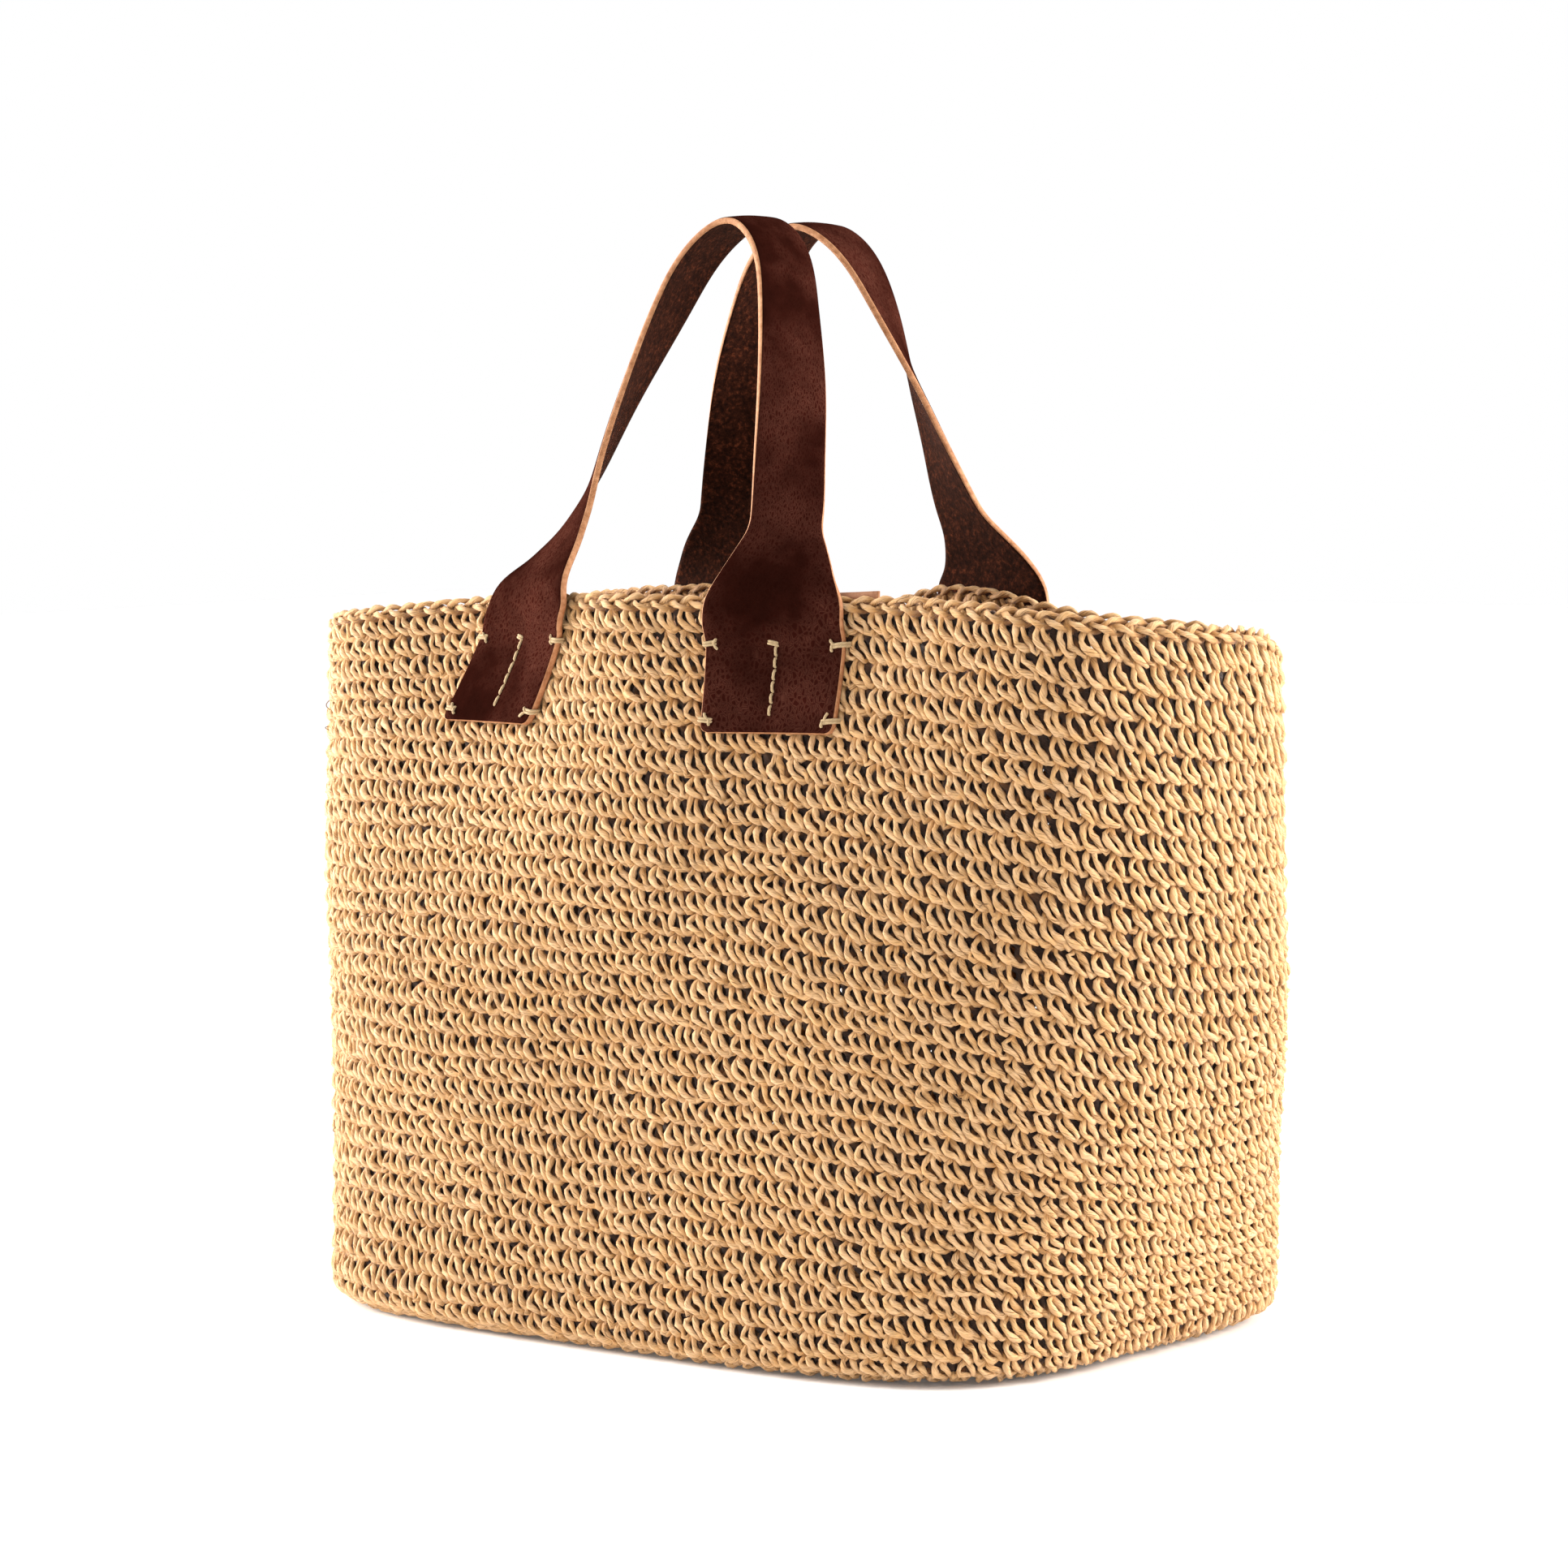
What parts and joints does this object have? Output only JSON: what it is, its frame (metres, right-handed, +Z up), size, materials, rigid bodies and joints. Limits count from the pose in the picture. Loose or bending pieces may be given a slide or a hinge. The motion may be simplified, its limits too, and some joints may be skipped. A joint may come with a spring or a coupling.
{
  "type": "beach bag",
  "caption": "Self-standing crocheted straw tote with a flat base, open mouth and leather strap handles sewn on by wide tabs.",
  "frame": {"origin": "centre of the flat base, at the surface that the bag stands on", "axes": "+Z up, +X along the mouth to the bag's right end, -Y out of its front face"},
  "size_m": [0.4448, 0.25, 0.4373],
  "materials": {
    "straw": "matt twisted paper straw",
    "handle_leather": "satin dark burgundy brown",
    "patch_leather": "natural vegetable-tanned, matt",
    "thread": "waxed linen"
  },
  "bodies": {
    "bag": {"base_panel": "straw", "wall": "straw", "rim_edging": "straw", "front_left_tab": "handle_leather", "front_left_patch": "patch_leather", "front_left_seam": "thread", "front_left_tacks": "thread", "front_right_tab": "handle_leather", "front_right_patch": "patch_leather", "front_right_seam": "thread", "front_right_tacks": "thread", "back_left_tab": "handle_leather", "back_left_patch": "patch_leather", "back_left_seam": "thread", "back_left_tacks": "thread", "back_right_tab": "handle_leather", "back_right_patch": "patch_leather", "back_right_seam": "thread", "back_right_tacks": "thread"},
    "front_handle": {"front_strap": "handle_leather"},
    "back_handle": {"back_strap": "handle_leather"}
  },
  "joints": [
    {"name": "front_handle_swing", "type": "hinge", "parent": "bag", "child": "front_handle", "pos_m": [0, -0.0905, 0.2752], "axis": [1, 0, 0], "range_deg": [0, 160]},
    {"name": "back_handle_swing", "type": "hinge", "parent": "bag", "child": "back_handle", "pos_m": [0, 0.0491, 0.2753], "axis": [-1, 0, 0], "range_deg": [0, 160]}
  ]
}
